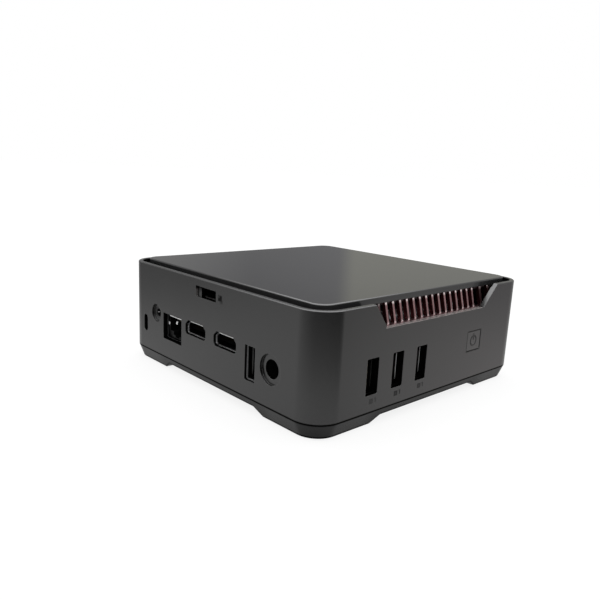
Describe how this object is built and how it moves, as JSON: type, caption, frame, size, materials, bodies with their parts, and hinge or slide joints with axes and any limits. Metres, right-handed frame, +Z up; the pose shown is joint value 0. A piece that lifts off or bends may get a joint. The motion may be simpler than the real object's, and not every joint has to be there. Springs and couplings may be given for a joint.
{
  "type": "mini pc",
  "caption": "Small square desktop computer: dark side shell, raised top plate in a groove, red finned air grilles, upright USB sockets, power button, connector face and tapered base.",
  "frame": {"origin": "centre of the footprint, on the plane the foot pads rest on", "axes": "+Z up; -Y is the face with the power button and three upright USB sockets; -X is the connector face"},
  "size_m": [0.128, 0.128, 0.0464],
  "materials": {
    "case": "fine satin moulding, dark grey",
    "plate": "satin dark grey with a bright edge",
    "red_anodised": "rose red metallic",
    "pad_rubber": "matt",
    "steel": "plain",
    "stamped_shell": "stamped and plated",
    "black_plastic": "moulded",
    "ivory_plastic": "moulded",
    "circuit_board": "solder mask",
    "contact_gold": "plated",
    "flex_film": "amber film",
    "thermal_pad": "soft",
    "heatsink_alloy": "stamped",
    "impeller_plastic": "moulded",
    "bearing_bronze": "sintered",
    "stator_copper": "wound",
    "cable_jacket": "satin"
  },
  "bodies": {
    "chassis": {"base_cover": "case", "side_shell": "case", "top_plate": "plate", "front_grille": "red_anodised", "rear_grille": "red_anodised", "foot_pads": "pad_rubber", "base_screws": "steel", "plate_screws": "steel", "button_retainer": "black_plastic", "power_switch": "black_plastic", "lock_plate": "steel", "mainboard": "circuit_board", "board_screws": "steel", "usb_1_shell": "stamped_shell", "usb_1_tongue": "black_plastic", "usb_2_shell": "stamped_shell", "usb_2_tongue": "black_plastic", "usb_3_shell": "stamped_shell", "usb_3_tongue": "black_plastic", "io_usb_shell": "stamped_shell", "io_usb_tongue": "black_plastic", "hdmi_1_shell": "stamped_shell", "hdmi_1_tongue": "black_plastic", "hdmi_2_shell": "stamped_shell", "hdmi_2_tongue": "black_plastic", "lan_shield": "stamped_shell", "lan_insert": "black_plastic", "lan_contacts": "contact_gold", "audio_jack": "black_plastic", "dc_jack": "black_plastic", "dc_pin": "steel", "card_board": "circuit_board", "card_reader": "stamped_shell", "card_board_spacers": "ivory_plastic", "card_board_screws": "steel", "card_ribbon": "flex_film", "cpu_package": "circuit_board", "thermal_pad": "thermal_pad", "heatsink": "heatsink_alloy", "heatsink_screws": "steel", "fan_housing": "black_plastic", "fan_cover": "heatsink_alloy", "fan_bearing": "bearing_bronze", "fan_stator": "stator_copper", "fan_screws": "steel", "fan_cable": "cable_jacket", "memory_module": "circuit_board", "memory_socket": "black_plastic", "ssd": "circuit_board", "ssd_socket": "black_plastic", "ssd_fastener": "steel", "wifi_module": "stamped_shell", "antennas": "flex_film", "antenna_leads": "cable_jacket", "rtc_battery": "steel", "battery_holder": "black_plastic"},
    "button": {"power_button": "case"},
    "plunger": {"switch_plunger": "ivory_plastic"},
    "impeller": {"fan_rotor": "impeller_plastic", "fan_shaft": "steel"}
  },
  "joints": [
    {"name": "button_press", "type": "slide", "parent": "chassis", "child": "button", "axis": [0, 1, 0], "range_m": [0, 0.0006]},
    {"name": "plunger_press", "type": "slide", "parent": "chassis", "child": "plunger", "axis": [0, 1, 0], "range_m": [0, 0.0006]},
    {"name": "fan_spin", "type": "hinge", "parent": "chassis", "child": "impeller", "pos_m": [0.001, 0.002, 0.035], "axis": [0, 0, 1], "continuous": true}
  ],
  "couplings": [
    {"joint": "plunger_press", "follows": "button_press", "ratio": 1}
  ]
}
